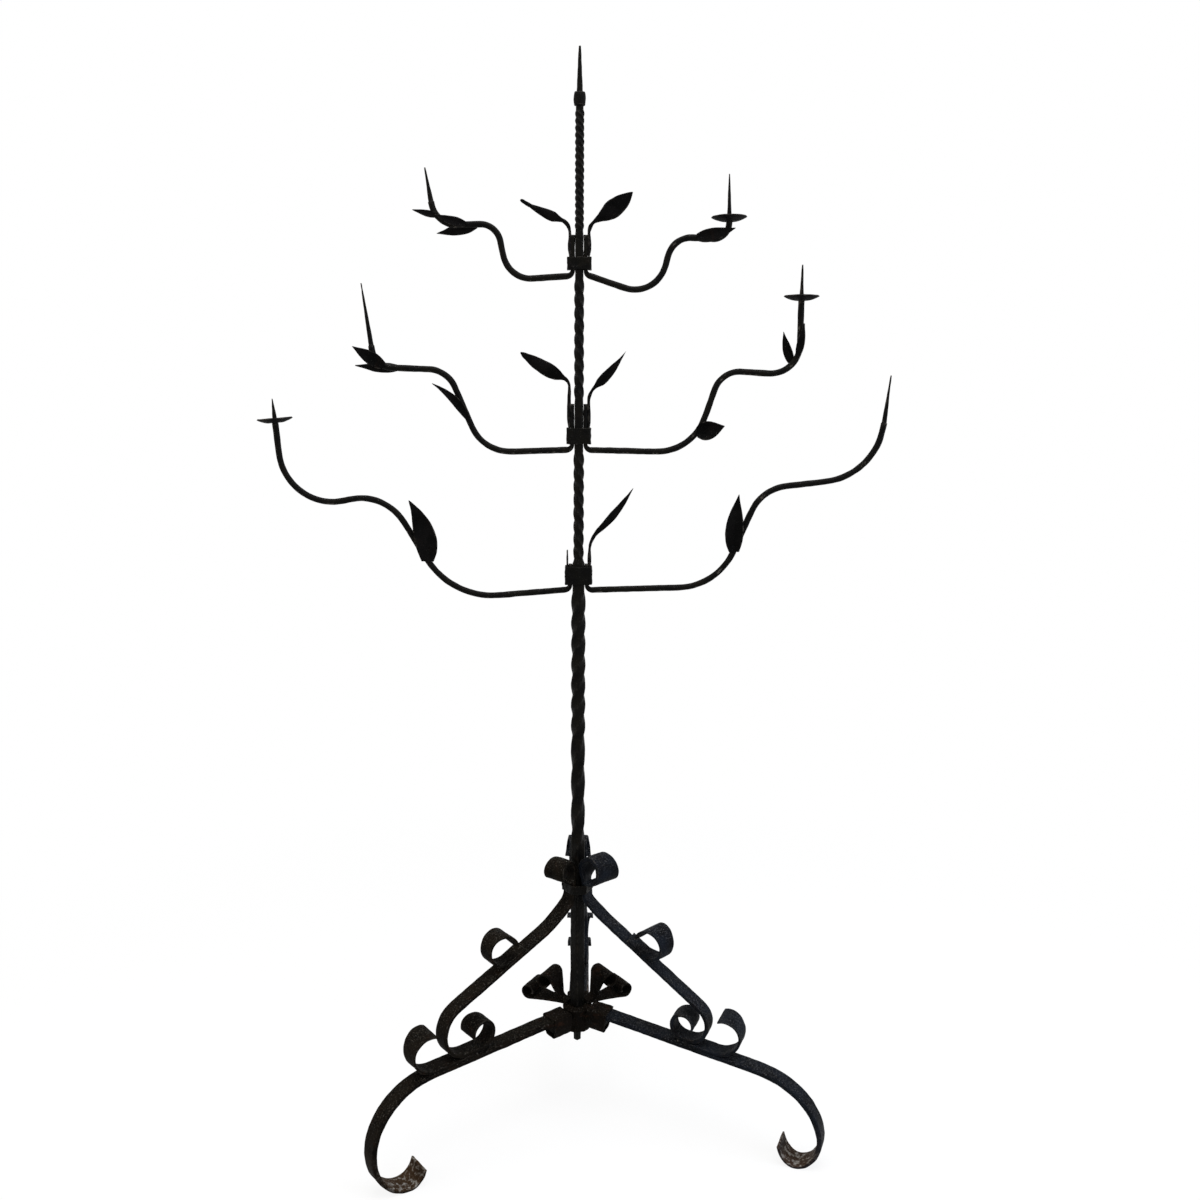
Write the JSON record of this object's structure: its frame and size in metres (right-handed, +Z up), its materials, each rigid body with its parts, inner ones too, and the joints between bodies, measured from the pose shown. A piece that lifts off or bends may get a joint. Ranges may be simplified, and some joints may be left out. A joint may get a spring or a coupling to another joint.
{
  "type": "torchere candle stand",
  "caption": "Tall wrought-iron floor candle stand with a twisted column, scrolled tripod legs and leafed candle arms in tiers.",
  "frame": {"origin": "on the floor, in the middle of the stand's bounding box", "axes": "+Z up along the column, X along the arms with +X to the viewer's right, -Y towards the viewer; the rear leg points along +Y"},
  "size_m": [0.942, 0.6244, 1.6503],
  "materials": {
    "painted_bar_iron": "matt black paint over hammered bar, aged, with fine pits and grey worn edges",
    "painted_strap_iron": "matt black paint over flat strap, speckled grey, with worn edges and a bluish or brown cast",
    "painted_sheet_iron": "matt black paint over thin forged sheet, aged",
    "rusty_wrought_iron": "worn black paint over rough iron, rusty red-brown where it is bare"
  },
  "bodies": {
    "stand": {"column": "painted_bar_iron", "top_ferrule": "painted_bar_iron", "lower_collar": "painted_bar_iron", "middle_collar": "painted_bar_iron", "upper_collar": "painted_bar_iron", "upper_left_arm": "painted_bar_iron", "upper_left_stem_leaf": "painted_sheet_iron", "middle_left_arm": "painted_bar_iron", "middle_left_stem_leaf": "painted_sheet_iron", "lower_left_arm": "painted_bar_iron", "lower_left_stem_stub": "painted_sheet_iron", "upper_left_sheath_leaf": "painted_sheet_iron", "upper_left_tip_leaf": "painted_sheet_iron", "upper_left_under_leaf": "painted_sheet_iron", "middle_left_tip_leaf": "painted_sheet_iron", "middle_left_under_leaf": "painted_sheet_iron", "middle_left_rising_leaf": "painted_sheet_iron", "lower_left_leaf": "painted_sheet_iron", "upper_right_arm": "painted_bar_iron", "upper_right_stem_leaf": "painted_sheet_iron", "middle_right_arm": "painted_bar_iron", "middle_right_stem_leaf": "painted_sheet_iron", "lower_right_arm": "painted_bar_iron", "lower_right_stem_leaf": "painted_sheet_iron", "upper_right_leaf": "painted_sheet_iron", "middle_right_leaf": "painted_sheet_iron", "middle_right_sleeve_leaf": "painted_sheet_iron", "middle_right_bud": "painted_sheet_iron", "lower_right_leaf": "painted_sheet_iron", "right_leg": "painted_strap_iron", "right_brace": "painted_strap_iron", "right_brace_curl": "painted_strap_iron", "right_leg_hook": "painted_strap_iron", "right_leg_band": "rusty_wrought_iron", "left_leg": "painted_strap_iron", "left_brace": "painted_strap_iron", "left_brace_curl": "painted_strap_iron", "left_leg_hook": "painted_strap_iron", "left_leg_band": "rusty_wrought_iron", "rear_leg": "painted_strap_iron", "rear_brace": "painted_strap_iron", "rear_brace_curl": "painted_strap_iron", "rear_leg_hook": "painted_strap_iron", "rear_leg_band": "rusty_wrought_iron", "brace_collar": "painted_bar_iron", "hub": "rusty_wrought_iron", "left_outer_hub_scroll": "rusty_wrought_iron", "left_upper_hub_scroll": "rusty_wrought_iron", "right_outer_hub_scroll": "rusty_wrought_iron", "right_upper_hub_scroll": "rusty_wrought_iron", "front_hub_scroll_stub": "rusty_wrought_iron"},
    "lower_left_drip_pan": {"lower_left_drip_pan": "painted_sheet_iron"},
    "upper_right_drip_pan": {"upper_right_drip_pan": "painted_sheet_iron"},
    "middle_right_drip_pan": {"middle_right_drip_pan": "painted_sheet_iron"}
  },
  "joints": [
    {"name": "lower_left_pan_lift", "type": "slide", "parent": "stand", "child": "lower_left_drip_pan", "axis": [-0.0872, 0, 0.9962], "range_m": [0, 0.045]},
    {"name": "upper_right_pan_lift", "type": "slide", "parent": "stand", "child": "upper_right_drip_pan", "axis": [-0.0175, 0, 0.9998], "range_m": [0, 0.075]},
    {"name": "middle_right_pan_lift", "type": "slide", "parent": "stand", "child": "middle_right_drip_pan", "axis": [0, 0, 1], "range_m": [0, 0.06]}
  ]
}
